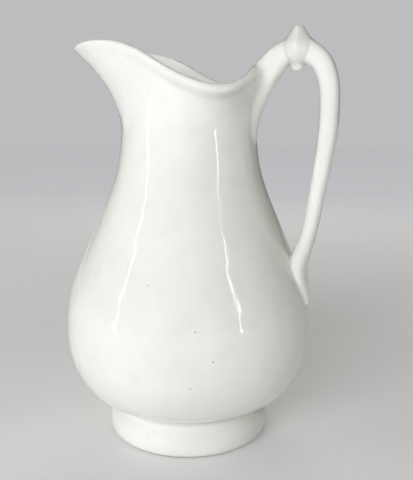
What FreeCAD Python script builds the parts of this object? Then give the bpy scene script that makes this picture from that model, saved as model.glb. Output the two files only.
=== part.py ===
import FreeCAD, Part
import Sketcher
import math
import os
import re

"""A large glazed earthenware water jug (ewer): foot, round belly, narrow neck,
swept spout, rolled lip, and a loop handle with a bud on its arch.

Frame: millimetres, +Z up. The origin is the centre of the foot on the table plane.
The handle points along +X, the spout along -X, and the jug is symmetric about Y = 0.
"""

DIMENSIONS = [
    # alias, value, meaning
    ("foot_base_radius", 56.0, "outer radius where the foot meets the table"),
    ("foot_rest_radius", 51.0, "inner radius of the flat resting ring"),
    ("foot_bulge_radius", 62.2, "largest radius of the foot"),
    ("foot_bulge_height", 8.0, "height of that largest radius"),
    ("foot_base_arc", 8.3, "profile radius of the foot's lower edge"),
    ("foot_wall_arc", 30.0, "profile radius of the foot's wall"),
    ("foot_shoulder_radius", 59.8, "radius where the foot wall turns in"),
    ("foot_shoulder_height", 19.0, "height of that turn"),
    ("foot_cove_arc", 12.0, "profile radius of the cove above the shoulder"),
    ("foot_height", 26.2, "height of the crease under the belly"),
    ("foot_crease_radius", 57.3, "radius of the crease"),
    ("recess_radius", 46.0, "radius of the hollow under the foot"),
    ("recess_depth", 17.0, "depth of the hollow under the foot"),
    ("recess_edge_height", 8.5, "height where the hollow's wall starts to splay"),
    ("rest_bevel", 1.5, "bevel inside the resting ring"),
    ("wall", 5.5, "thickness of the belly wall"),
    ("belly_radius", 93.7, "largest radius of the belly"),
    ("belly_height", 85.2, "height of the largest radius"),
    ("lower_arc", 78.0, "profile radius below the widest level"),
    ("lower_angle", 36.0, "slope from vertical where the lower arc ends"),
    ("turn_arc", 25.0, "profile radius of the turn towards the foot"),
    ("turn_angle", 64.0, "slope from vertical where that turn ends"),
    ("upper_arc", 111.0, "profile radius above the widest level"),
    ("shoulder_angle", 23.8, "slope from vertical of the straight shoulder"),
    ("neck_arc", 117.0, "profile radius of the concave neck"),
    ("neck_radius", 50.3, "outer radius of the narrowest level"),
    ("neck_height", 231.0, "height of the narrowest level"),
    ("lip_mean_radius", 63.5, "lip plan: mean radius about the jug's axis"),
    ("lip_pull", -8.1, "lip plan: shift towards the spout"),
    ("lip_oval", 8.4, "lip plan: lengthening along X"),
    ("lip_pinch", -8.4, "lip plan: pinch behind the spout"),
    ("lip_square", 0.5, "lip plan: squareness of the sides"),
    ("lip_point", -0.6, "lip plan: sharpness of the spout"),
    ("lip_mean_height", 280.5, "lip height: mean"),
    ("lip_rise", -13.3, "lip height: rise towards the spout"),
    ("lip_saddle", 6.4, "lip height: rise at both ends"),
    ("lip_dip", 7.0, "lip height: dip towards the handle"),
    ("lip_sharpness", 1.6, "lip height: tightness of the dip"),
    ("lip_hook", 1.1, "lip height: steepness beside the handle"),
    ("handle_dip", 4.5, "lip height: the extra dip just at the handle"),
    ("handle_dip_turn", 22.0, "angle over which that dip fades"),
    ("flare_power", 1.9, "how late the neck opens towards the lip"),
    ("lip_roll", 3.2, "radius of the rolled lip"),
    ("lip_stands", 1.6, "how far the lip stands outside the neck wall"),
    ("lip_wall", 4.8, "thickness of the neck wall under the lip"),
    ("arch_radius", 25.0, "centreline radius of the handle's arch"),
    ("arch_x", 78.6, "x of the arch's centre"),
    ("arch_z", 262.0, "height of the arch's centre"),
    ("drop_radius", 430.0, "centreline radius of the handle's long side"),
    ("drop_angle", 14.7, "slope from vertical where the strap ends in the leaf"),
    ("strap_thick_top", 7.4, "half thickness of the strap at the arch"),
    ("strap_thick_end", 5.8, "half thickness of the strap at its lower end"),
    ("strap_half_width", 8.0, "half width of the strap"),
    ("branch_foot_x", 51.5, "top branch: centreline where it leaves the lip"),
    ("branch_foot_z", 268.5, "height of that point"),
    ("branch_bend_x", 63.0, "top branch: the control point of its curve"),
    ("branch_bend_z", 283.5, "height of that control point"),
    ("branch_head_x", 75.5, "top branch: centreline inside the bud"),
    ("branch_head_z", 288.0, "height of that point"),
    ("branch_half_thick", 7.2, "half thickness of the top branch"),
    ("branch_half_width", 8.0, "half width of the top branch"),
    ("rib_foot_x", 46.5, "neck rib: centreline at its lower end"),
    ("rib_foot_z", 231.5, "height of that point"),
    ("rib_bend_x", 50.0, "neck rib: the control point of its curve"),
    ("rib_bend_z", 252.0, "height of that control point"),
    ("rib_head_x", 66.0, "neck rib: centreline inside the top branch"),
    ("rib_head_z", 279.0, "height of that point"),
    ("rib_half_thick", 5.4, "half thickness of the neck rib"),
    ("rib_half_width", 6.5, "half width of the neck rib"),
    ("leaf_bend_x", 81.0, "leaf: the control point of its curve"),
    ("leaf_bend_z", 128.0, "height of that control point"),
    ("leaf_tip_x", 91.5, "leaf: centreline at its tip"),
    ("leaf_tip_z", 105.0, "height of the tip"),
    ("leaf_half_thick", 7.2, "half thickness of the leaf"),
    ("leaf_half_width", 13.0, "half width of the leaf"),
    ("bud_x", 80.2, "x of the bud and its bead"),
    ("bud_radius", 9.8, "largest radius of the bud"),
    ("bud_side_arc", 30.0, "profile radius of the bud's sides"),
    ("bud_waist_radius", 7.0, "radius of the bud's underside"),
    ("bud_shoulder_radius", 7.0, "radius where the bud's sides turn in"),
    ("bud_tip_radius", 3.0, "radius of the bud's worn tip"),
    ("bud_base", 279.0, "height where the bud starts"),
    ("bud_middle", 288.0, "height of the bud's largest radius"),
    ("bud_shoulder", 298.0, "height where the bud's sides turn in"),
    ("bud_top", 305.0, "height of the bud's tip"),
    ("bead_radius", 4.2, "radius of the bead under the bud"),
    ("bead_height", 277.8, "height of the bead's centre"),
]

LIP_PLAN = ("lip_mean_radius", "lip_pull", "lip_oval", "lip_pinch", "lip_square", "lip_point")
LIP_RISE = ("lip_mean_height", "lip_rise", "lip_saddle", "lip_dip", "lip_sharpness", "lip_hook")
RING_POINTS = 24
RING_LEVELS = (0.0, 0.2, 0.4, 0.6, 0.8, 1.0)
ROLL_STRANDS = 8
ARCH_TURNS = (0, 30, 60, 90)
DROP_SHARES = (0.25, 0.5, 0.75, 1.0)
ARCH_THINNING = 1 / 3    # the share of the strap's thinning that happens on the arch

# Along each bar: (share of the way, share of its half thickness, share of its half width).
BRANCH_STATIONS = ((0, 0.9, 0.9), (0.35, 0.95, 0.9), (0.7, 1, 0.95), (1, 1.05, 1))
RIB_STATIONS = ((0, 0.5, 0.7), (0.25, 0.75, 0.85), (0.5, 0.92, 0.95), (0.75, 1, 1), (1, 1, 1))
LEAF_STATIONS = ((0.2, 0.95, 0.85), (0.42, 1, 1), (0.66, 0.9, 0.8), (0.86, 0.62, 0.5), (1, 0.28, 0.25))

doc = FreeCAD.newDocument("water_jug")


def make_sheet():
    """Put every driving dimension in a cell with an alias."""
    table = doc.addObject("Spreadsheet::Sheet", "Dims")
    for row, (alias, value, meaning) in enumerate(DIMENSIONS, start=1):
        table.set(f"A{row}", str(value))
        table.setAlias(f"A{row}", alias)
        table.set(f"B{row}", meaning)
    doc.recompute()
    return table


sheet = make_sheet()
ALIASES = {alias for alias, _, _ in DIMENSIONS}


def size(expression):
    """The value of an expression in the sheet's aliases; angles are in degrees."""
    return float(sheet.evalExpression(expression))


def bound(expression):
    """The same expression with each alias written as a reference to the sheet."""

    def reference(match):
        word = match.group()
        return "Dims." + word if word in ALIASES else word

    return re.sub("[a-z_]+", reference, expression)


# ------------------------------------------------------------------ turned pieces


def origin_plane(body, role):
    """One of a body's own origin planes."""
    return next(f for f in body.Origin.OriginFeatures if f.Role == role)


def arc_between(start, end, radius):
    """The short arc between two points; a positive radius bulges left of the travel."""
    chord = end - start
    half = chord.Length / 2
    sagitta = abs(radius) - math.sqrt(radius * radius - half * half)
    left = FreeCAD.Vector(-chord.y, chord.x, 0).normalize()
    crown = (start + end) / 2 + left * math.copysign(sagitta, radius)
    return Part.Arc(start, crown, end)


def end_codes(sketch, edge, start):
    """The sketch's codes for an edge's first and last vertex; an arc may be stored reversed."""
    first = sketch.getPoint(edge, 1)
    gap = math.hypot(first.x - start.x, first.y - start.y)
    return (1, 2) if gap < 1e-6 else (2, 1)


def bind(sketch, constraint, expression):
    """Add a dimension to a sketch and drive it from the sheet."""
    index = sketch.addConstraint(constraint)
    sketch.setExpression(f"Constraints[{index}]", bound(expression))


def pin_corner(sketch, edge, code, corner, radius, height):
    """Dimension a corner's distance from the axis and from the table plane."""
    if radius == "0":
        sketch.addConstraint(Sketcher.Constraint("PointOnObject", edge, code, -2))
    else:
        away = Sketcher.Constraint("DistanceX", -1, 1, edge, code, corner.x)
        bind(sketch, away, radius)
    if height == "0":
        sketch.addConstraint(Sketcher.Constraint("PointOnObject", edge, code, -1))
    else:
        above = Sketcher.Constraint("DistanceY", -1, 1, edge, code, corner.y)
        bind(sketch, above, height)


def turned_body(name, outline):
    """Revolve a closed outline about the body's vertical axis.

    Each outline row is (radius, height, arc): a corner, and the profile radius of the
    edge that leaves it, or None where that edge is straight.
    """
    body = doc.addObject("PartDesign::Body", name)
    sketch = body.newObject("Sketcher::SketchObject", name + "_profile")
    sketch.AttachmentSupport = (origin_plane(body, "XZ_Plane"), [""])
    sketch.MapMode = "FlatFace"
    corners = [FreeCAD.Vector(size(r), size(z), 0) for r, z, _ in outline]
    count = len(outline)
    for i, (_, _, arc) in enumerate(outline):
        start, end = corners[i], corners[(i + 1) % count]
        if arc is None:
            sketch.addGeometry(Part.LineSegment(start, end))
        else:
            sketch.addGeometry(arc_between(start, end, size(arc)))
    ends = [end_codes(sketch, i, corners[i]) for i in range(count)]
    for i in range(count):
        after = (i + 1) % count
        joint = Sketcher.Constraint("Coincident", i, ends[i][1], after, ends[after][0])
        sketch.addConstraint(joint)
    for i, (radius, height, arc) in enumerate(outline):
        pin_corner(sketch, i, ends[i][0], corners[i], radius, height)
        if arc is not None:
            curve = Sketcher.Constraint("Radius", i, abs(size(arc)))
            bind(sketch, curve, f"abs({arc})")
    turn = body.newObject("PartDesign::Revolution", name + "_turn")
    turn.Profile = sketch
    turn.ReferenceAxis = (sketch, ["V_Axis"])
    turn.Angle = 360
    return body


# ------------------------------------------------------------------ foot and belly


def turn_corner(inset):
    """Where the turn towards the foot ends, at an inset from the outer surface."""
    reach = "(lower_arc - turn_arc)"
    radius = (
        f"belly_radius - lower_arc + {reach} * cos(lower_angle)"
        f" + (turn_arc - {inset}) * cos(turn_angle)"
    )
    height = (
        f"belly_height - {reach} * sin(lower_angle)"
        f" - (turn_arc - {inset}) * sin(turn_angle)"
    )
    return radius, height


def lower_corner(inset):
    """Where the arc below the widest level ends."""
    radius = f"belly_radius - lower_arc + (lower_arc - {inset}) * cos(lower_angle)"
    height = f"belly_height - (lower_arc - {inset}) * sin(lower_angle)"
    return radius, height


def upper_corner(inset):
    """Where the arc above the widest level runs into the straight shoulder."""
    radius = f"belly_radius - upper_arc + (upper_arc - {inset}) * cos(shoulder_angle)"
    height = f"belly_height + (upper_arc - {inset}) * sin(shoulder_angle)"
    return radius, height


def neck_corner(inset):
    """Where the straight shoulder runs into the concave neck."""
    radius = f"neck_radius + neck_arc - (neck_arc + {inset}) * cos(shoulder_angle)"
    height = f"neck_height - (neck_arc + {inset}) * sin(shoulder_angle)"
    return radius, height


def belly_side(inset, upward=True):
    """The belly's side from the foot to the neck's waist, at an inset from outside."""
    corners = [
        turn_corner(inset),
        lower_corner(inset),
        (f"belly_radius - {inset}", "belly_height"),
        upper_corner(inset),
        neck_corner(inset),
        (f"neck_radius - {inset}", "neck_height"),
    ]
    arcs = [
        f"-(turn_arc - {inset})",
        f"-(lower_arc - {inset})",
        f"-(upper_arc - {inset})",
        None,
        f"neck_arc + {inset}",
    ]
    if not upward:
        corners.reverse()
        arcs = [arc and f"-({arc})" for arc in reversed(arcs)]
    return [(r, z, arc) for (r, z), arc in zip(corners, arcs + [None])]


def make_foot():
    """The foot: a ring with a rounded wall, a cove on top and a hollow inside."""
    return turned_body("foot_ring", [
        ("foot_rest_radius", "0", None),
        ("foot_base_radius", "0", "-foot_base_arc"),
        ("foot_bulge_radius", "foot_bulge_height", "-foot_wall_arc"),
        ("foot_shoulder_radius", "foot_shoulder_height", "foot_cove_arc"),
        ("foot_crease_radius", "foot_height", None),
        ("recess_radius", "foot_height", None),
        ("recess_radius", "recess_edge_height", None),
        ("foot_rest_radius - rest_bevel", "rest_bevel", None),
    ])


def make_floor():
    """The base slab, set into the top of the foot."""
    return turned_body("floor", [
        ("0", "recess_depth", None),
        ("recess_radius", "recess_depth", None),
        ("recess_radius", "foot_height", None),
        ("0", "foot_height", None),
    ])


def make_belly():
    """The round lower wall, from the foot to the waist of the neck."""
    return turned_body("belly", [
        ("recess_radius", "foot_height", None),
        ("foot_crease_radius", "foot_height", None),
        *belly_side("0"),
        *belly_side("wall", upward=False),
    ])


def make_belly_core():
    """The belly filled solid, which trims whatever is luted onto it."""
    return turned_body("belly_core", [
        ("0", "foot_height", None),
        ("foot_crease_radius", "foot_height", None),
        *belly_side("0"),
        ("0", "neck_height", None),
    ])


# ------------------------------------------------------------------ neck, spout and lip


def lip_radius(angle):
    """Outer radius of the lip; the angle is 0 at the handle and 180 at the spout."""
    turn = math.radians(angle)
    return sum(size(wave) * math.cos(n * turn) for n, wave in enumerate(LIP_PLAN))


def lip_height(angle):
    """Height of the lip's crown at the same angle."""
    turn = math.radians(angle)
    waves = sum(size(wave) * math.cos(n * turn) for n, wave in enumerate(LIP_RISE))
    from_handle = min(angle, 360 - angle)
    return waves - size("handle_dip") * math.exp(-(from_handle / size("handle_dip_turn")) ** 2)


def around(radius, angle, height):
    """A point at a radius and angle about the jug's axis."""
    turn = math.radians(angle)
    return FreeCAD.Vector(radius * math.cos(turn), radius * math.sin(turn), height)


def closed_curve(point_at):
    """A closed smooth curve through point_at(angle), all the way round the jug."""
    angles = [i * 360 / RING_POINTS for i in range(RING_POINTS)]
    curve = Part.BSplineCurve()
    curve.interpolate(Points=[point_at(angle) for angle in angles], PeriodicFlag=True)
    return Part.Wire([curve.toShape()])


def neck_ring(level, inset):
    """One ring of the neck; level is 0 at the waist and 1 at the middle of the lip."""
    waist = size("neck_radius")
    base = size("neck_height")
    roll = size("lip_roll")
    stands = size("lip_stands")

    def point(angle):
        opening = (lip_radius(angle) - stands - waist) * level ** size("flare_power")
        climb = (lip_height(angle) - roll - base) * level
        return around(waist + opening - inset, angle, base + climb)

    return closed_curve(point)


def solid_from(faces):
    """A solid from faces that meet edge to edge."""
    shell = Part.makeShell(faces)
    shell.sewShape()
    solid = Part.makeSolid(Part.Shell(shell.Faces))
    if solid.Volume < 0:
        solid.reverse()
    return solid


def make_neck():
    """The neck and spout, an open collar under the lip, and the same filled solid."""
    thinning = size("wall - lip_wall")
    outer_rings = [neck_ring(level, 0) for level in RING_LEVELS]
    inner_rings = [neck_ring(u, size("wall") - thinning * u) for u in RING_LEVELS]
    outer = Part.makeLoft(outer_rings, False, False)
    inner = Part.makeLoft(inner_rings, False, False)
    bottom = Part.makeRuledSurface(outer_rings[0], inner_rings[0])
    top = Part.makeRuledSurface(outer_rings[-1], inner_rings[-1])
    collar = doc.addObject("Part::Feature", "collar")
    collar.Shape = solid_from(outer.Faces + inner.Faces + bottom.Faces + top.Faces)
    lid = Part.makeFilledFace(outer_rings[-1].Edges)
    core = doc.addObject("Part::Feature", "neck_core")
    core.Shape = solid_from(outer.Faces + [lid, Part.Face(outer_rings[0])])
    return collar, core


def make_lip():
    """The rolled lip: a round bead along the top of the neck wall."""
    roll = size("lip_roll")

    def strand(share):
        """A closed line along the bead, at a share of the way round its section."""
        turn = 2 * math.pi * share
        out = roll * math.cos(turn) - roll
        rise = roll * math.sin(turn) - roll
        return closed_curve(lambda a: around(lip_radius(a) + out, a, lip_height(a) + rise))

    strands = [strand(i / ROLL_STRANDS) for i in range(ROLL_STRANDS)]
    skin = Part.makeLoft(strands, False, False, True)
    lip = doc.addObject("Part::Feature", "lip")
    lip.Shape = Part.makeSolid(Part.Shell(skin.Faces))
    return lip


# ------------------------------------------------------------------ handle


def section(name, x, z, heading, half_thick, half_width):
    """An oval across the handle at (x, z); heading is the path's slope in degrees."""
    along = FreeCAD.Vector(math.cos(heading), 0, math.sin(heading))
    across = FreeCAD.Vector(0, 1, 0)
    oval = doc.addObject("Part::Ellipse", name)
    oval.Placement.Rotation = FreeCAD.Rotation(across, along.cross(across), along, "XYZ")
    oval.setExpression("MajorRadius", bound(half_width))
    oval.setExpression("MinorRadius", bound(half_thick))
    oval.setExpression("Placement.Base.x", bound(x))
    oval.setExpression("Placement.Base.z", bound(z))
    return oval


def lofted(name, sections):
    """A smooth solid through a row of ovals."""
    loft = doc.addObject("Part::Loft", name)
    loft.Sections = sections
    loft.Solid = True
    return loft


def bent_bar(part, places, stations):
    """A bar along the curve that starts at the first place and bends towards the second.

    Each place is (x, z). Each station is (share, thickness, width): its share of the way
    along, and shares of the bar's half thickness and half width.
    """
    ovals = []
    for number, (t, thick, wide) in enumerate(stations):
        weights = ((1 - t) ** 2, 2 * t * (1 - t), t * t)
        slopes = (t - 1, 1 - 2 * t, t)
        x = " + ".join(f"{w} * ({px})" for w, (px, _) in zip(weights, places))
        z = " + ".join(f"{w} * ({pz})" for w, (_, pz) in zip(weights, places))
        run = sum(w * size(px) for w, (px, _) in zip(slopes, places))
        climb = sum(w * size(pz) for w, (_, pz) in zip(slopes, places))
        heading = math.atan2(climb, run)
        half_thick = f"{thick} * {part}_half_thick"
        half_width = f"{wide} * {part}_half_width"
        ovals.append(section(f"{part}_oval_{number}", x, z, heading, half_thick, half_width))
    return lofted(f"{part}_bar", ovals)


def drop_place(share):
    """A point on the handle's long side; the share is 1 where the strap ends."""
    x = f"arch_x + arch_radius - drop_radius * (1 - cos({share} * drop_angle))"
    z = f"arch_z - drop_radius * sin({share} * drop_angle)"
    return x, z


def named_places(part, *names):
    """The (x, z) cells of a part's named points."""
    return [(f"{part}_{name}_x", f"{part}_{name}_z") for name in names]


def make_strap():
    """The handle's loop, from the bud over the arch and down to the leaf."""
    thin = "(strap_thick_top - strap_thick_end)"
    ovals = []
    for number, turn in enumerate(ARCH_TURNS):
        x = f"arch_x + arch_radius * sin({turn})"
        z = f"arch_z + arch_radius * cos({turn})"
        thick = f"strap_thick_top - {thin} * {ARCH_THINNING * turn / 90}"
        heading = math.radians(-turn)
        ovals.append(section(f"arch_oval_{number}", x, z, heading, thick, "strap_half_width"))
    for number, share in enumerate(DROP_SHARES):
        x, z = drop_place(share)
        thinned = ARCH_THINNING + (1 - ARCH_THINNING) * share
        thick = f"strap_thick_top - {thin} * {thinned}"
        heading = -math.radians(90 + share * size("drop_angle"))
        ovals.append(section(f"drop_oval_{number}", x, z, heading, thick, "strap_half_width"))
    return lofted("strap_bar", ovals)


def make_bud():
    """The bud on the arch: a turned knuckle with a worn flat tip."""
    bud = turned_body("bud", [
        ("0", "bud_base", None),
        ("bud_waist_radius", "bud_base", "-bud_side_arc"),
        ("bud_radius", "bud_middle", "-bud_side_arc"),
        ("bud_shoulder_radius", "bud_shoulder", None),
        ("bud_tip_radius", "bud_top", None),
        ("0", "bud_top", None),
    ])
    bud.setExpression("Placement.Base.x", bound("bud_x"))
    return bud


def make_bead():
    """The small round bead that hangs under the bud."""
    bead = doc.addObject("Part::Sphere", "bead")
    bead.setExpression("Radius", bound("bead_radius"))
    bead.setExpression("Placement.Base.x", bound("bud_x"))
    bead.setExpression("Placement.Base.z", bound("bead_height"))
    return bead


def trimmed(name, piece, *neighbours):
    """A piece cut back to the surface of each neighbour that it is luted onto."""
    for number, neighbour in enumerate(neighbours, start=1):
        cut = doc.addObject("Part::Cut", f"{name}_cut_{number}")
        cut.Base = piece
        cut.Tool = neighbour
        cut.Refine = False
        piece = cut
    piece.Label = name
    return piece


def make_handle(belly_core, neck_core, lip):
    """Every piece of the handle, each trimmed to meet the pieces it grows from."""
    bud = make_bud()
    bead = trimmed("bud_bead", make_bead(), bud)
    strap_thick = size("strap_thick_end / leaf_half_thick")
    strap_wide = size("strap_half_width / leaf_half_width")
    leaf_places = [drop_place(1), *named_places("leaf", "bend", "tip")]
    leaf_bar = bent_bar("leaf", leaf_places, ((0, strap_thick, strap_wide), *LEAF_STATIONS))
    leaf = trimmed("handle_leaf", leaf_bar, belly_core)
    strap = trimmed("handle_strap", make_strap(), bud, bead, leaf_bar, belly_core)
    branch_bar = bent_bar("branch", named_places("branch", "foot", "bend", "head"), BRANCH_STATIONS)
    branch = trimmed("handle_branch", branch_bar, neck_core, lip, bud, bead)
    rib_bar = bent_bar("rib", named_places("rib", "foot", "bend", "head"), RIB_STATIONS)
    rib = trimmed("neck_rib", rib_bar, branch_bar, neck_core)
    return [bud, bead, leaf, strap, branch, rib]


# ------------------------------------------------------------------ the whole jug


def make_jug():
    """All the pieces, in the order that a potter joins them."""
    foot = make_foot()
    floor = make_floor()
    belly = make_belly()
    belly_core = make_belly_core()
    collar, neck_core = make_neck()
    lip = make_lip()
    neck = trimmed("neck_and_spout", collar, lip)
    lip.Label = "rolled_lip"
    handle = make_handle(belly_core, neck_core, lip)
    return [foot, floor, belly, neck, lip, *handle]


def check(pieces):
    """Stop if anything failed to compute, or a piece isn't one valid solid."""
    doc.recompute()
    for item in doc.Objects:
        if {"Invalid", "Error"} & set(item.State):
            raise RuntimeError(f"{item.Label} failed: {item.State}")
    for piece in pieces:
        shape = piece.Shape
        if shape.isNull() or not shape.isValid() or len(shape.Solids) != 1:
            raise RuntimeError(f"{piece.Label} is not one valid solid: {len(shape.Solids)}")


def write(pieces):
    """Write each piece to parts/, under its own name."""
    os.makedirs("parts", exist_ok=True)
    for piece in pieces:
        piece.Shape.exportStep(f"parts/{piece.Label}.step")


jug = make_jug()
check(jug)
write(jug)
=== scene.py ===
import math

import bpy
import numpy as np
from mathutils import Matrix, Vector


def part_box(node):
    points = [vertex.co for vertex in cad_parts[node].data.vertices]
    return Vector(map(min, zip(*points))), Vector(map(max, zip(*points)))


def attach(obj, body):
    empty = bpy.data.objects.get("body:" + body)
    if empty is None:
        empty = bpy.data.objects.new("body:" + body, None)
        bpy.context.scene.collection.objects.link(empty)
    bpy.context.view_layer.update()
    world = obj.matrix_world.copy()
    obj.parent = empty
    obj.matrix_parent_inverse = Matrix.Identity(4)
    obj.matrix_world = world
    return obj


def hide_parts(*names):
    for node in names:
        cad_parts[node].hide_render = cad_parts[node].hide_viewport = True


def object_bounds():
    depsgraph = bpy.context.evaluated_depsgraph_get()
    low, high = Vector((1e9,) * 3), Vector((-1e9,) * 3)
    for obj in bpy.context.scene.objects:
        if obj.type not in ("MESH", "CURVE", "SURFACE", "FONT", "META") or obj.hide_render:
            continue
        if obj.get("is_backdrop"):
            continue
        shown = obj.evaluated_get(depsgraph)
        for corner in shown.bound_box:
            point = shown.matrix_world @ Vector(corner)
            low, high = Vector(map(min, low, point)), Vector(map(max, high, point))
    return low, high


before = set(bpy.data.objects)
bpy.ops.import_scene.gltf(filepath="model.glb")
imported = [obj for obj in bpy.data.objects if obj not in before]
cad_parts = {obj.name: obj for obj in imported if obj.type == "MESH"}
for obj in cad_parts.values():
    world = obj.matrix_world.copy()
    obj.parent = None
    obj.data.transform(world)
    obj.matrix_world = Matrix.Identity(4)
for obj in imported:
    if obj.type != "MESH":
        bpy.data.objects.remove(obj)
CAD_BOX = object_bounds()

# ------------------------------------------------------------------ sizes
#
# Lengths are in millimetres until a mesh is made. The jug stands on z = 0 with its axis
# on x = y = 0, the handle along +X and the spout along -X.

MM = 0.001


def node_box(name):
    """Lowest and highest corner of a CAD node, in millimetres."""
    low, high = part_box(name)
    return np.array(low) / MM, np.array(high) / MM


FOOT_RADIUS = node_box("foot_ring")[1][1]
FOOT_HEIGHT = node_box("foot_ring")[1][2]
BELLY_RADIUS = node_box("belly")[1][1]
WAIST_HEIGHT = node_box("belly")[1][2]
FLOOR_LOW, FLOOR_HIGH = node_box("floor")
BUD_LOW, BUD_HIGH = node_box("bud")
BUD_X = (BUD_LOW[0] + BUD_HIGH[0]) / 2
BUD_TOP = BUD_HIGH[2]

WAIST_RADIUS = 50.3
WALL = 5.5
RIPPLE = 0.11         # height of the hand-finished wall's unevenness
RIPPLE_FADE = 3.0     # the unevenness ends that far under the lip
FLOOR_CORNER = 6.0    # height of the round corner between the inner side and the floor

LIP_ROLL = 3.2        # radius of the lip's rounded edge
SPOUT_ROLL = 1.5      # the same at the spout's tip
SPOUT_TURNS = (math.radians(80), math.radians(172))    # where the lip starts and ends to thin
LIP_PLAIN = 2.2       # half of the wall's thickness just under the lip
LIP_SWELL = (8.0, 0.5)    # how far under the roll the wall starts and ends to swell into it
HANDLE_DIP = 4.5      # how far the lip dips, just at the handle, under its waves
HANDLE_DIP_TURN = math.radians(20)
FLARE_POWER = 1.9     # how late the neck opens towards the lip

# The foot's side, from the resting ring up to the crease: (radius, height).
FOOT_SIDE = [
    (55.4, 0.1), (58.8, 1.3), (61.2, 4.2), (FOOT_RADIUS - 0.1, 8.2), (61.8, 13.0),
    (60.7, 16.8), (58.9, 19.3), (57.4, 21.2), (56.9, 23.6), (57.2, FOOT_HEIGHT - 0.3),
]

# The floor's underside and the inner side of the ring, out to where it rests.
RECESS = FLOOR_LOW[2] + 0.2
UNDERSIDE = [
    (2.0, RECESS), (12.0, RECESS), (24.0, RECESS), (34.0, RECESS), (40.0, RECESS - 0.3),
    (43.6, RECESS - 1.6), (45.5, RECESS - 4.0), (46.4, RECESS - 7.5), (47.4, 5.5), (48.6, 1.9),
    (49.6, 0.5), (51.0, 0.05), (53.2, 0.05),
]

# The belly's side, from the crease up to the waist of the neck: (radius, height).
BELLY_SIDE = [
    (57.2, FOOT_HEIGHT - 0.3), (65.0, 30.0), (75.6, 36.6), (84.4, 48.0), (91.0, 64.0),
    (BELLY_RADIUS - 0.3, 85.2), (90.2, 111.8), (78.2, 143.8), (64.4, 175.7),
    (54.5, 202.4), (WAIST_RADIUS, WAIST_HEIGHT),
]

# The lip as waves round the jug, from the handle (angle 0) to the spout (180 degrees):
# the mean, then once, twice, three times ... round.
LIP_RADIUS_WAVES = (63.5, -8.1, 8.4, -8.4, 0.5, -0.6)
LIP_HEIGHT_WAVES = (280.5, -13.3, 6.4, 7.0, 1.6, 1.1)

# Bars of clay in the plane of the handle: (x, z, half thickness, half width).
STRAP = [
    (74.0, 288.6, 8.6, 8.4), (85.5, 287.9, 8.7, 8.4), (91.8, 284.8, 8.0, 8.2),
    (96.7, 280.2, 7.6, 8.1), (100.1, 274.0, 7.4, 8.0), (102.2, 267.0, 7.2, 8.0),
    (103.5, 254.0, 6.95, 7.9), (102.9, 232.0, 6.7, 7.8), (99.9, 208.0, 6.3, 7.7),
    (95.5, 180.0, 5.7, 7.7), (91.9, 160.0, 5.6, 7.9), (88.6, 147.0, 4.6, 7.6),
]
BRANCH = [
    (49.4, 267.6, 4.3, 5.0), (55.2, 275.5, 5.8, 6.1), (61.2, 281.8, 6.8, 6.9),
    (67.5, 285.9, 7.4, 7.7), (78.0, 288.6, 8.7, 8.2),
]
RIB = [
    (45.5, 224.0, 3.0, 3.6), (47.4, 234.0, 4.1, 4.6), (50.6, 247.5, 4.9, 5.6),
    (55.2, 258.2, 5.1, 6.1), (59.3, 266.6, 5.4, 6.5), (65.0, 276.5, 6.0, 7.0),
    (72.0, 285.0, 6.0, 7.2),
]
LEAF = [
    (92.6, 163.0, 3.6, 5.4), (89.4, 152.0, 5.4, 8.4), (86.8, 144.0, 6.6, 11.0),
    (84.9, 135.5, 6.9, 12.6), (85.4, 127.5, 6.4, 12.0), (87.4, 119.5, 5.6, 9.2),
    (89.4, 112.0, 4.6, 5.8), (91.2, 106.5, 2.6, 2.6),
]

# The bud: (height, half width along X, half width along Y).
BUD_SHAPE = [
    (275.5, 3.0, 3.0), (278.6, 5.4, 6.0), (281.5, 9.4, 9.2), (285.0, 12.6, 11.6),
    (289.0, 13.4, 12.6), (293.5, 11.8, 11.8), (297.0, 8.8, 9.4), (300.0, 6.6, 7.6),
    (303.0, 4.6, 5.6), (305.5, 3.2, 4.0),
]
BUD_CORNERS = 1.4     # 1 gives a sharp lozenge in plan, 2 an oval
BUD_SIDE_SHARE = 0.7  # a lozenge's sides are that much nearer than its corners
BUD_EDGE = 0.9        # how round the edge of the bud's flat tip is
BEAD_HEIGHT = 277.6
BEAD_RADIUS = 3.9

BEAD_FILLET = 1.2     # between the bud and its bead
BUD_FILLET = 1.6      # between the arms and the bud
ARCH_FILLET = 1.5     # between the strap and the branch, inside the bud
ARM_FILLET = 3.0      # between the other arms
# The fillet from the handle onto the body: (height, radius).
BODY_FILLETS = [(155.0, 1.6), (200.0, 6.0), (262.0, 7.0), (278.0, 6.0)]
FEATHER = 0.05        # how deep a skin's thin edge is buried in its neighbour
SKIN_DEPTH = 1.6      # how far the handle's clay reaches into the body's wall
BUD_MARGIN = 0.3      # how far past the fillet round the bud the handle's skin goes
BODY_MARGIN = 0.4     # the same on the body

# Iron specks in the belly's glaze: (angle, height).
IRON_SPECKS = [(math.radians(-62), 85), (math.radians(-71), 67), (math.radians(-69), 105)]

HANDLE_HALF_WIDTH = 15.0    # of the space that holds the handle, or the bud, with room to spare
GRID_STEP = 0.6
BUD_GRID_SHARE = 0.7  # the bud's grid is finer
GRID_BLOCK = 4        # grid steps in a block whose distance is first taken roughly
CURVE_STEPS = 24      # places on a bar's curve for each of its knots
MAP_STEP = 0.5        # spacing of the map of nearest places on a bar
MAP_MARGIN = 24.0
TURNS = 200       # columns of faces round the body
ROW_STEP = 1.6    # height of a row of faces on the body
UNDERSIDE_ROWS, FOOT_ROWS, EDGE_ROWS, FLOOR_ROWS = 60, 46, 15, 30
BELLY_ROWS = int(230 / ROW_STEP)         # 230 mm up the belly's outer side
INSIDE_ROWS = int(200 / ROW_STEP)        # 200 mm up its inner side
NECK_RISE = 50        # about how far the lip is over the waist

# ------------------------------------------------------------------ curves


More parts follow.
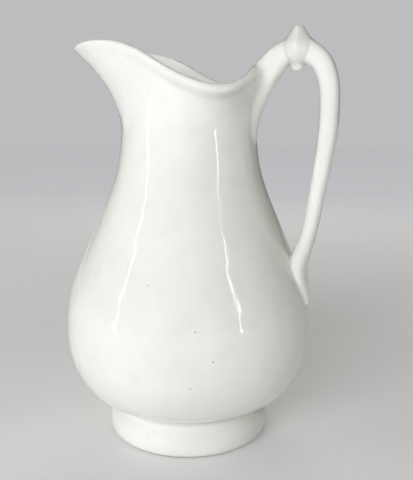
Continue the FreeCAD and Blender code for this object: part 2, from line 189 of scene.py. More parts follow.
def spline(knots, count):
    """A natural cubic spline through the knots (rows of numbers), evenly sampled."""
    knots = np.array(knots, float)
    chord = np.linalg.norm(np.diff(knots[:, :2], axis=0), axis=1)
    t = np.concatenate([[0], np.cumsum(chord)])
    n = len(knots)
    system = np.zeros((n, n))
    right = np.zeros(knots.shape)
    system[0, 0] = system[-1, -1] = 1
    for i in range(1, n - 1):
        before, after = chord[i - 1], chord[i]
        system[i, i - 1:i + 2] = before, 2 * (before + after), after
        slope_after = (knots[i + 1] - knots[i]) / after
        slope_before = (knots[i] - knots[i - 1]) / before
        right[i] = 6 * (slope_after - slope_before)
    bend = np.linalg.solve(system, right)
    s = np.linspace(0, t[-1], count)
    i = np.clip(np.searchsorted(t, s, side="right") - 1, 0, n - 2)
    width = chord[i][:, None]
    a = (t[i + 1] - s)[:, None] / width
    b = 1 - a
    curve = (a ** 3 - a) * bend[i] + (b ** 3 - b) * bend[i + 1]
    return a * knots[i] + b * knots[i + 1] + curve * width ** 2 / 6


def waves(coefficients, angle):
    """A sum of cosines round the jug."""
    return sum(c * np.cos(n * angle) for n, c in enumerate(coefficients))


BELLY_CURVE = spline(BELLY_SIDE, 600)
BUD_CURVE = spline(BUD_SHAPE, 120)


def belly_radius(z):
    """Outer radius of the belly at a height."""
    return np.interp(z, BELLY_CURVE[:, 1], BELLY_CURVE[:, 0])


def smooth_step(value, low, high):
    """0 below low, 1 above high, and a smooth rise between."""
    t = np.clip((value - low) / (high - low), 0, 1)
    return t * t * (3 - 2 * t)


def spoutness(angle):
    """0 over the front and the handle's side of the lip, rising to 1 at the spout's tip."""
    turned = np.abs(np.angle(np.exp(1j * angle)))
    return smooth_step(turned, *SPOUT_TURNS)


def lip_roll(angle):
    """Radius of the lip's rounded edge, which thins out towards the spout."""
    return LIP_ROLL + (SPOUT_ROLL - LIP_ROLL) * spoutness(angle)


def lip_middle(angle):
    """Radius and height of the middle of the lip's roll."""
    turned = np.angle(np.exp(1j * angle))
    dip = HANDLE_DIP * np.exp(-(turned / HANDLE_DIP_TURN) ** 2)
    roll = lip_roll(angle)
    return waves(LIP_RADIUS_WAVES, angle) - roll, waves(LIP_HEIGHT_WAVES, angle) - dip - roll


def neck_height(angle, level):
    """Height of the neck's surface at a level."""
    return WAIST_HEIGHT + (lip_middle(angle)[1] - WAIST_HEIGHT) * level


# ------------------------------------------------------------------ solids as distances
#
# Each function gives the signed distance, in millimetres, of points to a surface:
# negative inside the clay.


def smooth_union(a, b, fillet):
    """The union of two solids with a fillet of about that radius."""
    share = np.clip(0.5 + 0.5 * (b - a) / fillet, 0, 1)
    return b + (a - b) * share - fillet * share * (1 - share)


class Bar:
    """A bar with an oval section that follows a curve in the plane y = 0."""

    def __init__(self, knots, squareness=2.0):
        line = spline(knots, CURVE_STEPS * len(knots))
        self.middle, self.thick, self.wide = line[:, :2], line[:, 2], line[:, 3]
        run = np.gradient(self.middle, axis=0)
        self.step = np.linalg.norm(run, axis=1)
        self.along = run / self.step[:, None]
        self.squareness = squareness
        self.corner = self.middle.min(0) - MAP_MARGIN
        size = np.ceil((self.middle.max(0) + MAP_MARGIN - self.corner) / MAP_STEP).astype(int)
        cells = np.stack(np.meshgrid(*map(np.arange, size), indexing="ij"), -1)
        places = cells * MAP_STEP + self.corner
        self.nearest = np.empty(size, int)
        for i, row in enumerate(places):
            self.nearest[i] = ((row[:, None] - self.middle[None]) ** 2).sum(2).argmin(1)

    def distance(self, points):
        """Distance to the bar: its section's oval, cut off square at both ends."""
        flat = points[:, [0, 2]]
        cell = np.round((flat - self.corner) / MAP_STEP).astype(int)
        cell = np.clip(cell, 0, np.array(self.nearest.shape) - 1)
        k = self.nearest[cell[:, 0], cell[:, 1]]
        offset = flat - self.middle[k]
        along = self.along[k]
        ahead = (offset * along).sum(1)
        across = offset[:, 1] * along[:, 0] - offset[:, 0] * along[:, 1]
        last = len(self.thick) - 1
        place = np.clip(k + ahead / self.step[k], 0, last)
        thick = np.interp(place, np.arange(last + 1), self.thick)
        wide = np.interp(place, np.arange(last + 1), self.wide)
        u, v = np.abs(across) / thick, np.abs(points[:, 1]) / wide
        oval = (u ** self.squareness + v ** self.squareness) ** (1 / self.squareness)
        slope = np.hypot(u / thick, v / wide) / np.maximum(np.hypot(u, v), 1e-6)
        section = (oval - 1) / np.maximum(slope, 1e-6)
        beyond = ((k == 0) & (ahead < 0)) | ((k == last) & (ahead > 0))
        return np.where(beyond, np.maximum(section, np.abs(ahead)), section)


STRAP_BAR = Bar(STRAP, 2.3)
BRANCH_BAR = Bar(BRANCH, 2.2)
RIB_BAR = Bar(RIB)
LEAF_BAR = Bar(LEAF)


def polar(points):
    """Radius, angle and height of each point."""
    x, y, z = points.T
    return np.hypot(x, y), np.arctan2(y, x), z


def ripple(angle, z):
    """The slight unevenness of the hand-finished wall, in millimetres."""
    wide = np.sin(2 * angle + z / 31 + 0.6) * np.sin(z / 23 + 1.3) + np.sin(5 * angle - z / 17)
    fine = np.sin(9 * angle + z / 11 + 2.1) * np.sin(z / 8.3) + np.sin(13 * angle - z / 14 + 0.4)
    return (0.6 * wide + 0.25 * fine) * RIPPLE


def wall_middle(angle, z):
    """Radius of the middle of the wall's thickness at a height, and how steeply it opens there."""
    lip_radius, lip_height = lip_middle(angle)
    start = WAIST_RADIUS - WALL / 2
    rise = lip_height - WAIST_HEIGHT
    level = np.clip((z - WAIST_HEIGHT) / rise, 0, 1.3)
    flare = start + (lip_radius - start) * level ** FLARE_POWER
    flare_slope = FLARE_POWER * (lip_radius - start) * level ** (FLARE_POWER - 1) / rise
    belly_slope = belly_radius(z + 0.5) - belly_radius(z - 0.5)
    belly = belly_radius(z) - WALL / 2 * np.sqrt(1 + belly_slope ** 2)
    below = z < WAIST_HEIGHT
    return np.where(below, belly, flare), np.where(below, belly_slope, flare_slope)


def half_wall(angle, z, above):
    """Half of the wall's thickness; above is the distance past the middle of the lip's edge."""
    level = smooth_step(z, WAIST_HEIGHT, lip_middle(angle)[1])
    plain = WALL / 2 + (np.minimum(LIP_PLAIN, lip_roll(angle)) - WALL / 2) * level
    return plain + (lip_roll(angle) - plain) * smooth_step(above, -LIP_SWELL[0], -LIP_SWELL[1])


def body_distance(points):
    """Distance to the body's wall as a shell, hollow inside, with a rounded edge for a lip."""
    radius, angle, z = polar(points)
    middle, slope = wall_middle(angle, z)
    steep = np.sqrt(1 + slope ** 2)
    lip_radius, lip_height = lip_middle(angle)
    above = ((radius - lip_radius) * slope + z - lip_height) / steep
    across = (radius - middle) / steep
    across -= ripple(angle, z) * (across > 0) * smooth_step(above, 0, -RIPPLE_FADE)
    return np.hypot(across, np.maximum(above, 0)) - half_wall(angle, z, above)


def bud_distance(points):
    """Distance to the bud: a soft-edged knuckle with a ridge towards each side."""
    wide_x = np.interp(points[:, 2], BUD_CURVE[:, 0], BUD_CURVE[:, 1])
    wide_y = np.interp(points[:, 2], BUD_CURVE[:, 0], BUD_CURVE[:, 2])
    u = np.abs(points[:, 0] - BUD_X) / wide_x
    v = np.abs(points[:, 1]) / wide_y
    lozenge = (u ** BUD_CORNERS + v ** BUD_CORNERS) ** (1 / BUD_CORNERS)
    side = (lozenge - 1) * np.minimum(wide_x, wide_y) * BUD_SIDE_SHARE
    ends = np.maximum(points[:, 2] - BUD_TOP + 0.2, BUD_SHAPE[0][0] - points[:, 2])
    return -smooth_union(-side, -ends, BUD_EDGE)


def bead_distance(points):
    """Distance to the bead under the bud."""
    centre = np.array([BUD_X, 0, BEAD_HEIGHT])
    return np.linalg.norm(points - centre, axis=1) - BEAD_RADIUS


# ------------------------------------------------------------------ meshes


def smooth_steps(low, high, step):
    """Evenly spaced numbers from low to high, about step apart."""
    return np.linspace(low, high, max(2, int(round((high - low) / step)) + 1))


def onto_surface(points, distance, rounds=3, reach=0.8):
    """Moves points along the slope of a distance until it is zero."""
    points = points.copy()
    nudge = 0.02
    least_steep = 0.05
    for _ in range(rounds):
        value = distance(points)
        steps = nudge * np.eye(3)
        rises = [distance(points + step) - distance(points - step) for step in steps]
        slope = np.stack(rises, 1) / (2 * nudge)
        steep = np.maximum((slope ** 2).sum(1), least_steep)
        move = slope * np.clip(value / steep, -reach, reach)[:, None]
        points -= move
    return points


def new_object(name, points, faces, floats=None):
    """A smooth-shaded mesh object; points are in millimetres, floats are per-vertex values."""
    mesh = bpy.data.meshes.new(name)
    mesh.from_pydata((points * MM).tolist(), [], [list(f) for f in faces])
    mesh.validate()
    for key, values in (floats or {}).items():
        attribute = mesh.attributes.new(key, "FLOAT", "POINT")
        attribute.data.foreach_set("value", values.astype(np.float32))
    mesh.polygons.foreach_set("use_smooth", np.ones(len(mesh.polygons), bool))
    made = bpy.data.objects.new(name, mesh)
    bpy.context.scene.collection.objects.link(made)
    return made


def sample_grid(distance, low, high, step):
    """A distance on a grid of points, worked out in full only near the surface."""
    block = GRID_BLOCK
    counts = np.ceil((np.array(high) - low) / (step * block)).astype(int) * block
    axes = [low[i] + step * np.arange(counts[i]) for i in range(3)]
    coarse_axes = [a.reshape(-1, block).mean(1) for a in axes]
    coarse = np.stack(np.meshgrid(*coarse_axes, indexing="ij"), -1)
    rough = distance(coarse.reshape(-1, 3)).reshape(coarse.shape[:3])
    for axis in range(3):
        rough = np.repeat(rough, block, axis)
    near = np.abs(rough) < step * block * 1.6    # no surface is further from a block's middle
    where = np.argwhere(near)
    points = np.stack([axes[i][where[:, i]] for i in range(3)], 1)
    rough[near] = distance(points)
    return rough, np.array([a[0] for a in axes])


def at_corner(values, corner):
    """For every grid cell, the value at one of its eight corners."""
    return values[tuple(slice(side, side + n - 1) for side, n in zip(corner, values.shape))]


def surface_points(values):
    """One point in each grid cell that the surface crosses, and the point's number by cell."""
    shape = np.array(values.shape)
    total = np.zeros(tuple(shape - 1) + (3,))
    count = np.zeros(tuple(shape - 1))
    for axis in range(3):
        for side in np.ndindex(2, 2):
            first, second = list(side), list(side)
            first.insert(axis, 0)
            second.insert(axis, 1)
            one, two = at_corner(values, first), at_corner(values, second)
            crossed = (one < 0) != (two < 0)
            share = np.where(crossed, one / np.where(crossed, one - two, 1), 0)
            place = np.zeros(crossed.shape + (3,)) + np.array(first, float)
            place[..., axis] = share
            total += place * crossed[..., None]
            count += crossed
    cells = np.argwhere(count > 0)
    index = np.full(count.shape, -1)
    index[tuple(cells.T)] = np.arange(len(cells))
    return cells + total[tuple(cells.T)] / count[tuple(cells.T)][:, None], index


def surface_faces(inside, index):
    """A four-sided face across each grid line that leaves or enters the solid."""
    shape = inside.shape
    faces = []
    for axis in range(3):
        u, v = [(1, 2), (2, 0), (0, 1)][axis]
        one = inside[tuple(slice(0, n - (i == axis)) for i, n in enumerate(shape))]
        two = inside[tuple(slice(int(i == axis), n) for i, n in enumerate(shape))]
        for cell in np.argwhere(one != two):
            if cell[u] == 0 or cell[v] == 0 or cell[u] >= shape[u] - 1 or cell[v] >= shape[v] - 1:
                continue
            ring = []
            for du, dv in ((-1, -1), (0, -1), (0, 0), (-1, 0)):
                place = cell.copy()
                place[u] += du
                place[v] += dv
                ring.append(index[tuple(place)])
            leaving = one[tuple(cell)]
            faces.append(ring if leaving else ring[::-1])
    return faces


def skin(distance, low, high, step):
    """The surface of a solid given by its distance, as points and four-sided faces.

    Each grid cell that the surface crosses gets one point, which is then moved onto the surface.
    """
    values, corner = sample_grid(distance, np.array(low, float), high, step)
    places, index = surface_points(values)
    faces = surface_faces(values < 0, index)
    return onto_surface(corner + step * places, distance, rounds=2, reach=step / 2), faces


def turned_faces(rows, columns):
    """The faces of a closed skin: rows of points round the jug, between two end points."""
    here = np.arange(columns)
    after = (here + 1) % columns
    faces = []
    for row in range(rows - 1):
        a, b = 1 + row * columns, 1 + (row + 1) * columns
        faces += np.stack([a + here, a + after, b + after, b + here], 1).tolist()
    last = 1 + rows * columns
    bottom = np.stack([np.zeros(columns, int), 1 + after, 1 + here], 1).tolist()
    top_row = 1 + (rows - 1) * columns
    top = np.stack([top_row + here, top_row + after, np.full(columns, last)], 1).tolist()
    return bottom + faces + top


def belly_inside(count):
    """The inner side of the belly from the floor's edge up to the waist."""
    run = np.gradient(BELLY_CURVE[:, :2], axis=0)
    run /= np.linalg.norm(run, axis=1)[:, None]
    inner = BELLY_CURVE[:, :2] + WALL * np.stack([-run[:, 1], run[:, 0]], 1)
    inner = inner[inner[:, 1] > FLOOR_HIGH[2] + FLOOR_CORNER]
    pick = np.linspace(0, len(inner) - 1, count).astype(int)
    return inner[pick]


def around(radius, angles, height):
    """A row of points round the jug."""
    return np.stack([radius * np.cos(angles), radius * np.sin(angles), height + 0 * angles], 1)


def beside_wall(angles, height, side):
    """A row on the neck's outer side (1) or inner side (-1), level with a height on its middle."""
    middle, slope = wall_middle(angles, height)
    steep = np.sqrt(1 + slope ** 2)
    above = height - lip_middle(angles)[1]
    away = side * half_wall(angles, height, above) / steep
    return around(middle + away, angles, height - slope * away)


def turned_row(angles, radius, height, uneven):
    """A row of a body of revolution, with a share of the wall's unevenness."""
    return around(radius + uneven * ripple(angles, height), angles, height)


def foot_and_belly(angles):
    """The underside, the foot's side and the belly's, up to the waist."""
    rows = []
    for radius, height in spline(UNDERSIDE, UNDERSIDE_ROWS)[:, :2]:
        rows.append(turned_row(angles, radius, max(height, 0.0), 0.0))
    for radius, height in spline(FOOT_SIDE, FOOT_ROWS)[:, :2]:
        rows.append(turned_row(angles, radius, max(height, 0.05), min(1.0, height / 10)))
    past_crease = 3
    belly = np.linspace(past_crease, len(BELLY_CURVE) - 1, BELLY_ROWS).astype(int)
    for radius, height in BELLY_CURVE[belly, :2]:
        rows.append(turned_row(angles, radius, height, 1.0))
    return rows


def neck_and_lip(angles):
    """Up the neck's outer side, round the lip's edge and down the neck's inner side."""
    levels = smooth_steps(0.0, 1.0, ROW_STEP / NECK_RISE)
    heights = [neck_height(angles, level) for level in levels]
    rows = [beside_wall(angles, height, 1) for height in heights[1:-1]]
    lip_radius, lip_height = lip_middle(angles)
    roll, tilt = lip_roll(angles), np.arctan(wall_middle(angles, lip_height)[1])
    for turn in np.radians(np.linspace(0, 180, EDGE_ROWS)):
        radius = lip_radius + roll * np.cos(turn - tilt)
        rows.append(around(radius, angles, lip_height + roll * np.sin(turn - tilt)))
    rows += [beside_wall(angles, height, -1) for height in heights[-2:1:-1]]
    return [onto_surface(row, body_distance) for row in rows]


def inside_rows(angles):
    """Down the belly's inner side, round the corner and in along the floor."""
    rows = []
    for radius, height in belly_inside(INSIDE_ROWS)[::-1]:
        rows.append(turned_row(angles, radius, height, 0.5))
    corner = np.hypot(rows[-1][:, 0], rows[-1][:, 1]).mean()
    corner_height = rows[-1][0, 2]
    low = FLOOR_HIGH[2]
    floor_side = [
        (corner - 1.0, corner_height - 1.6), (corner - 4.0, low + 2.6), (corner - 9.0, low + 0.8),
        (corner - 18.0, low + 0.1), (20.0, low), (2.0, low),
    ]
    for radius, height in spline(floor_side, FLOOR_ROWS)[:, :2]:
        rows.append(turned_row(angles, radius, height, 0.0))
    return rows


def vessel_mesh():
    """The thrown body in one skin: foot, belly, neck, rolled lip, the inside and the floor."""
    angles = np.arange(TURNS) * 2 * np.pi / TURNS
    rows = foot_and_belly(angles) + neck_and_lip(angles) + inside_rows(angles)
    points = np.concatenate([[[0, 0, RECESS]], *rows, [[0, 0, FLOOR_HIGH[2]]]])
    return points, turned_faces(len(rows), TURNS)


def knot_distance(points):
    """Distance to the bud and the bead under it."""
    return smooth_union(bud_distance(points), bead_distance(points), BEAD_FILLET)


def arms_distance(points):
    """Distance to the strap, the branch, the rib and the leaf, before they meet anything."""
    arms = smooth_union(STRAP_BAR.distance(points), BRANCH_BAR.distance(points), ARCH_FILLET)
    arms = smooth_union(arms, RIB_BAR.distance(points), ARM_FILLET)
    return smooth_union(arms, LEAF_BAR.distance(points), ARM_FILLET)


def handle_distance(points):
    """Distance to the handle as its own solid, filleted onto the body and round the bud.

    The arms stop at the middle of the wall, or a little further in where they run over the lip.
    """
    radius, angle, z = polar(points)
    body, knot = body_distance(points), knot_distance(points)
    over_lip = LIP_ROLL / 2 * smooth_step(z - lip_middle(angle)[1], -2, 2)
    arms = np.maximum(arms_distance(points), wall_middle(angle, z)[0] - over_lip - radius)
    fillet = np.interp(z, *np.transpose(BODY_FILLETS))
    joined = smooth_union(smooth_union(arms, knot, BUD_FILLET), body, fillet) + FEATHER
    near_bud = arms - BUD_FILLET - BUD_MARGIN
    near_body = np.maximum(arms, body) - fillet - BODY_MARGIN
    reach = np.minimum(near_bud, near_body)
    return np.maximum.reduce([joined, -body - SKIN_DEPTH, -knot - SKIN_DEPTH / 2, reach])


def handle_mesh():
    """The handle's skin, worked out in a box a little larger than the handle."""
    low = (min(k[0] for k in RIB) - 4, -HANDLE_HALF_WIDTH, LEAF[-1][1] - 8)
    high = (max(k[0] + k[2] for k in STRAP) + 2, HANDLE_HALF_WIDTH, 300.0)
    return skin(handle_distance, low, high, GRID_STEP)


def bud_mesh():
    """The skin of the bud and its bead."""
    low = (BUD_X - HANDLE_HALF_WIDTH, -HANDLE_HALF_WIDTH, BEAD_HEIGHT - 7)
    high = (BUD_X + HANDLE_HALF_WIDTH, HANDLE_HALF_WIDTH, BUD_TOP + 1.5)
    return skin(knot_distance, low, high, GRID_STEP * BUD_GRID_SHARE)


# ------------------------------------------------------------------ materials


class Nodes:
    """A material's node tree, with short names for what this scene uses."""

    def __init__(self, name):
        self.material = bpy.data.materials.new(name)
        self.material.use_nodes = True
        self.tree = self.material.node_tree
        self.tree.nodes.clear()

    def add(self, kind, inputs=None, **settings):
        """A node whose inputs are numbers or other nodes' outputs."""
        node = self.tree.nodes.new(kind)
        for key, value in settings.items():
            setattr(node, key, value)
        for key, value in (inputs or {}).items():
            if isinstance(value, bpy.types.NodeSocket):
                self.tree.links.new(value, node.inputs[key])
            else:
                node.inputs[key].default_value = value
        return node

    def noise(self, place, size, detail=3.0, roughness=0.5):
        """Noise whose features are about size metres wide."""
        settings = {"Vector": place, "Scale": 1 / size, "Detail": detail, "Roughness": roughness}
        return self.add("ShaderNodeTexNoise", settings).outputs["Fac"]

    def span(self, value, low, high, start=0.0, end=1.0):
        """A value from low to high as one from start to end."""
        inputs = {"Value": value, "From Min": low, "From Max": high, "To Min": start, "To Max": end}
        return self.add("ShaderNodeMapRange", inputs, clamp=True).outputs["Result"]

    def math(self, operation, a, b):
        """Arithmetic on two values."""
        return self.add("ShaderNodeMath", {0: a, 1: b}, operation=operation).outputs[0]

    def mix(self, share, a, b):
        """A colour between a and b."""
        node = self.add("ShaderNodeMix", data_type="RGBA", blend_type="MIX")
        for socket, value in ((node.inputs[0], share), (node.inputs[6], a), (node.inputs[7], b)):
            if isinstance(value, bpy.types.NodeSocket):
                self.tree.links.new(value, socket)
            else:
                socket.default_value = value
        return node.outputs[2]

    def bump(self, height, distance, before=None):
        """A normal for relief that is distance metres high, on top of the one before."""
        inputs = {"Height": height, "Distance": distance}
        if before is not None:
            inputs["Normal"] = before
        return self.add("ShaderNodeBump", inputs).outputs["Normal"]

    def finish(self, colour, roughness, normal, **fixed):
        """The finished material."""
        inputs = {"Base Color": colour, "Roughness": roughness, "Normal": normal, **fixed}
        shader = self.add("ShaderNodeBsdfPrincipled", inputs)
        out = self.add("ShaderNodeOutputMaterial")
        self.tree.links.new(shader.outputs["BSDF"], out.inputs["Surface"])
        return self.material


def rgb(r, g, b):
    """A colour from the numbers 0 to 255 of a screen."""
    return tuple(((c / 255 + 0.055) / 1.055) ** 2.4 for c in (r, g, b)) + (1,)


GLAZE_WHITE = rgb(242, 241, 234)
GLAZE_CREAM = rgb(236, 235, 226)
GLAZE_THIN = rgb(226, 222, 210)
# painted shade: the grey laid into the crease over the foot, under the lip and along the handle's
# joints
PAINTED_SHADE_GREY = rgb(186, 184, 182)
IRON_BROWN = rgb(96, 80, 66)
CLAY_LIGHT = rgb(150, 118, 84)
CLAY_DARK = rgb(104, 78, 52)
RARE_SPECK = 0.975        # one cell of the specks' pattern in forty holds a speck


def glaze():
    """White ironstone glaze: glossy, faintly uneven, greyed by painted shade in creases and at
    joints, with iron specks.
    """
    n = Nodes("white_glaze")
    place = n.add("ShaderNodeTexCoord").outputs["Object"]
    painted_shade = n.add("ShaderNodeAttribute", attribute_name="painted_shade").outputs["Fac"]
    bare = n.add("ShaderNodeAttribute", attribute_name="bare").outputs["Fac"]

    cloud = n.span(n.noise(place, 0.06, 4.0), 0.35, 0.65)
    colour = n.mix(cloud, GLAZE_WHITE, GLAZE_CREAM)
    thin = n.span(n.noise(place, 0.012, 3.0), 0.5, 0.75)
    colour = n.mix(n.math("MULTIPLY", thin, 0.25), colour, GLAZE_THIN)
    # painted shade: greyer where the mask marks creases, the lip's underside and the handle's
    # joints
    colour = n.mix(n.math("MULTIPLY", painted_shade, 0.55), colour, PAINTED_SHADE_GREY)

    cells = n.add("ShaderNodeTexVoronoi", {"Vector": place, "Scale": 1 / 0.011})
    chance = n.add("ShaderNodeSeparateColor", {"Color": cells.outputs["Color"]}).outputs[0]
    rare = n.math("GREATER_THAN", chance, RARE_SPECK)
    speck = n.math("MULTIPLY", n.span(cells.outputs["Distance"], 0.02, 0.05, 1.0, 0.0), rare)
    for angle, height in IRON_SPECKS:
        away = belly_radius(height)
        spot = Vector((away * math.cos(angle), away * math.sin(angle), height)) * MM
        gap = n.add("ShaderNodeVectorMath", {0: place, 1: spot}, operation="DISTANCE")
        near = n.span(gap.outputs["Value"], 0.0003, 0.0008, 0.8, 0.0)
        speck = n.math("MAXIMUM", speck, near)
    colour = n.mix(n.math("MULTIPLY", speck, 0.75), colour, IRON_BROWN)

    ragged = n.span(n.noise(place, 0.0018, 4.0), 0.3, 0.7, -0.35, 0.35)
    worn = n.span(n.math("ADD", bare, ragged), 0.35, 0.6)
    clay = n.mix(n.noise(place, 0.0012, 4.0), CLAY_LIGHT, CLAY_DARK)
    colour = n.mix(worn, colour, clay)

    smear = n.span(n.noise(place, 0.018, 5.0), 0.35, 0.7, 0.04, 0.11)
    roughness = n.math("ADD", smear, n.math("MULTIPLY", worn, 0.55))
    wave = n.bump(n.noise(place, 0.034, 2.0), 0.0012)
    peel = n.bump(n.noise(place, 0.0035, 2.0), 0.00004, wave)
    grit = n.bump(n.math("MULTIPLY", n.noise(place, 0.0008, 3.0), worn), 0.0003, peel)
    return n.finish(colour, roughness, grit, IOR=1.52)


def studio_paper():
    """Plain pale paper under the jug, a little brighter far away, where no lamp reaches it."""
    n = Nodes("studio_paper")
    place = n.add("ShaderNodeTexCoord").outputs["Object"]
    colour = n.mix(n.noise(place, 0.4, 2.0), rgb(224, 223, 221), rgb(228, 227, 225))
    grain = n.bump(n.noise(place, 0.002, 4.0), 0.00005)
    rough = n.span(n.noise(place, 0.05), 0.3, 0.7, 0.75, 0.85)
    away = n.add("ShaderNodeVectorMath", {0: place}, operation="LENGTH").outputs["Value"]
    far = n.span(away, 0.3, 1.9, 0.12, 0.42)
    glow = {"Emission Color": rgb(240, 244, 250), "Emission Strength": far}
    return n.finish(colour, rough, grain, **glow)


# ------------------------------------------------------------------ pieces


def painted_shade_on_body(points):
    """Painted shade on the body: in the crease over the foot and under the lip's roll."""
    radius, angle, z = polar(points)
    outside = radius > wall_middle(angle, z)[0]
    crease_radius, crease_width, drop, drop_width = 50.0, 2.4, 5.0, 2.2
    crease = np.exp(-((z - FOOT_HEIGHT) / crease_width) ** 2) * (radius > crease_radius)
    under = lip_middle(angle)[1] - z
    under_lip = np.exp(-((under - drop) / drop_width) ** 2) * outside
    return np.clip(crease + 0.35 * under_lip * (1 - spoutness(angle)), 0, 1)


def painted_shade_on_handle(points):
    """Painted shade on the handle: along its joints with the body, the bud and the bead."""
    arms, body, knot = arms_distance(points), body_distance(points), knot_distance(points)
    at_body = 1 - smooth_step(np.maximum(arms, body), 0.1, 1.8)
    at_knot = 1 - smooth_step(np.maximum(arms, knot), 0.1, 1.2)
    over_leaf = 180.0
    at_leaf = at_body * (points[:, 2] < over_leaf)
    return np.clip(0.5 * at_leaf + 0.8 * at_knot, 0, 1)


def bare_on_body(points):
    """The dry ring that the jug stands on."""
    return 1 - smooth_step(points[:, 2], 0.15, 1.4)


def bare_on_bud(points):
    """The worn ridge down the bud's tip, on the side away from the spout."""
    top = smooth_step(points[:, 2], BUD_TOP - 13.5, BUD_TOP - 10)
    ridge = 1 - smooth_step(np.abs(points[:, 1] - 0.6), 0.5, 2.2)
    side = smooth_step(points[:, 0] - BUD_X, 0.2, 1.8)
    return np.clip(top * ridge * side, 0, 1)


def piece(name, mesh, material, replaced, painted_shade, bare):
    """One piece of the jug, riding on the part's only body."""
    points, faces = mesh
    # the first mask is painted shade in creases and at joints, the second the unglazed clay
    floats = {"painted_shade": painted_shade(points), "bare": bare(points)}
    made = new_object(name, points, faces, floats)
    made.data.materials.append(material)
    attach(made, "root")
    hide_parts(*replaced)
    return made


def nowhere(points):
    """No painted shade and nothing bare."""
    return np.zeros(len(points))


white = glaze()
piece("jug_vessel", vessel_mesh(), white,
      ["foot_ring", "floor", "belly", "neck_and_spout", "rolled_lip"], painted_shade_on_body, bare_on_body)
piece("jug_handle", handle_mesh(), white,
      ["handle_strap", "handle_branch", "neck_rib", "handle_leaf"], painted_shade_on_handle, nowhere)
piece("jug_bud", bud_mesh(), white, ["bud", "bud_bead"], nowhere, bare_on_bud)


# ------------------------------------------------------------------ studio

VIEW_PLACE = Vector((152.5, -456.0, 230.3)) * MM
VIEW_HEADING = math.radians(16.893)     # turned from +Y towards -X
VIEW_PITCH = math.radians(9.515)        # downwards
VIEW_ROLL = math.radians(0.281)
LENS = 47.36

AIM = Vector((0, 0, 0.15))              # the lamps point here
SOFT_SPREAD = math.radians(100)
# Name, azimuth, elevation, distance, size in metres, watts, colour, whether the glaze mirrors it.
LAMPS = [
    ("key", -26, 17, 2.0, (1.4, 0.5), 10.0, (0.91, 0.945, 1.0), False),
    ("left_fill", -85, 8, 1.5, (0.9, 0.6), 0.95, (0.97, 1.0, 0.97), False),
    ("back_fill", 175, 32, 2.2, (1.4, 1.0), 4.0, (1.0, 0.96, 0.9), False),
    ("left_strip", -68, 16, 1.5, (0.035, 1.5), 1.2, (1.0, 1.0, 1.0), True),
    ("right_strip", 45, 6, 1.5, (0.035, 1.6), 2.3, (1.0, 1.0, 1.0), True),
    ("far_right_strip", 112, 8, 1.5, (0.35, 1.6), 0.4, (1.0, 0.93, 0.82), True),
]
ROOM_COLOUR, ROOM_STRENGTH = (1.0, 0.93, 0.82, 1), 0.07
BACKDROP_COLOUR, BACKDROP_STRENGTH = (0.97, 0.98, 1.0, 1), 0.52


def camera():
    """The camera, at the photograph's angle."""
    data = bpy.data.cameras.new("camera")
    data.lens = LENS
    data.clip_start, data.clip_end = 0.01, 30
    made = bpy.data.objects.new("camera", data)
    bpy.context.scene.collection.objects.link(made)
    turn = Matrix.Rotation(VIEW_HEADING, 4, "Z") @ Matrix.Rotation(math.pi / 2 - VIEW_PITCH, 4, "X")
    made.matrix_world = Matrix.Translation(VIEW_PLACE) @ turn @ Matrix.Rotation(VIEW_ROLL, 4, "Z")
    bpy.context.scene.camera = made


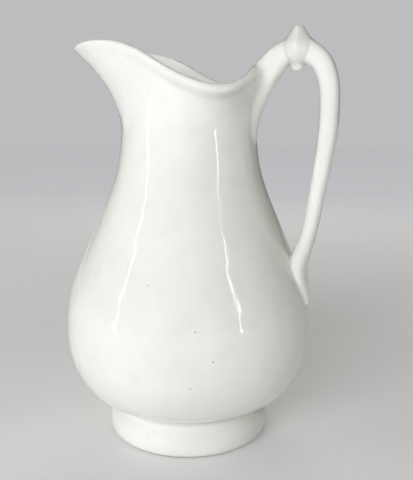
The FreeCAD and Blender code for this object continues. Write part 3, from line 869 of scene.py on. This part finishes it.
def floor():
    """A wide round sheet of paper under the jug."""
    rings = [150.0, 500.0, 1500.0, 4000.0, 12000.0]
    columns = 96
    angles = np.arange(columns) * 2 * np.pi / columns
    rows = [around(radius, angles, 0) for radius in rings]
    points = np.concatenate([[[0, 0, 0]], *rows])
    here = np.arange(columns)
    after = (here + 1) % columns
    faces = np.stack([0 * here, 1 + here, 1 + after], 1).tolist()
    for row in range(len(rings) - 1):
        a, b = 1 + row * columns, 1 + (row + 1) * columns
        faces += np.stack([a + here, b + here, b + after, a + after], 1).tolist()
    made = new_object("floor", points, faces)
    made.data.materials.append(studio_paper())
    made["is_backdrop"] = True


def area_light(name, azimuth, elevation, distance, size, power, colour, mirrored):
    """A lamp aimed at the jug; azimuth is in degrees to the right of the camera."""
    towards_camera = Vector((VIEW_PLACE.x, VIEW_PLACE.y, 0)).normalized()
    right = Vector((-towards_camera.y, towards_camera.x, 0))
    a, e = math.radians(azimuth), math.radians(elevation)
    level = towards_camera * math.cos(a) + right * math.sin(a)
    away = level * math.cos(e) + Vector((0, 0, math.sin(e)))
    data = bpy.data.lights.new(name, "AREA")
    data.shape = "RECTANGLE"
    data.size, data.size_y = size
    data.energy = power
    data.color = colour
    made = bpy.data.objects.new(name, data)
    made.location = AIM + away * distance
    made.rotation_euler = (-away).to_track_quat("-Z", "Y").to_euler()
    if not mirrored:
        made.visible_glossy = False
        data.spread = SOFT_SPREAD
    bpy.context.scene.collection.objects.link(made)


def lights():
    """A big soft key from the front left, fills, and tall narrow lamps that the glaze mirrors."""
    for lamp in LAMPS:
        area_light(*lamp)
    data = bpy.data.lights.new("overhead", "SUN")
    data.energy = 0.3
    data.angle = math.radians(60)
    bpy.context.scene.collection.objects.link(bpy.data.objects.new("overhead", data))


def room():
    """A dim warm room, whose far wall is seen as a paler plain backdrop."""
    world = bpy.data.worlds.new("room")
    world.use_nodes = True
    nodes, links = world.node_tree.nodes, world.node_tree.links
    ambient = nodes["Background"]
    ambient.inputs["Color"].default_value = ROOM_COLOUR
    ambient.inputs["Strength"].default_value = ROOM_STRENGTH
    backdrop = nodes.new("ShaderNodeBackground")
    backdrop.inputs["Color"].default_value = BACKDROP_COLOUR
    backdrop.inputs["Strength"].default_value = BACKDROP_STRENGTH
    seen = nodes.new("ShaderNodeLightPath")
    either = nodes.new("ShaderNodeMixShader")
    links.new(seen.outputs["Is Camera Ray"], either.inputs[0])
    links.new(ambient.outputs[0], either.inputs[1])
    links.new(backdrop.outputs[0], either.inputs[2])
    links.new(either.outputs[0], nodes["World Output"].inputs["Surface"])
    bpy.context.scene.world = world
    bpy.context.scene.view_settings.view_transform = "Standard"


camera()
floor()
lights()
room()

boxes = {"cad": CAD_BOX, "visual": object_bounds()}
{key: [list(corner) for corner in box] for key, box in boxes.items()}
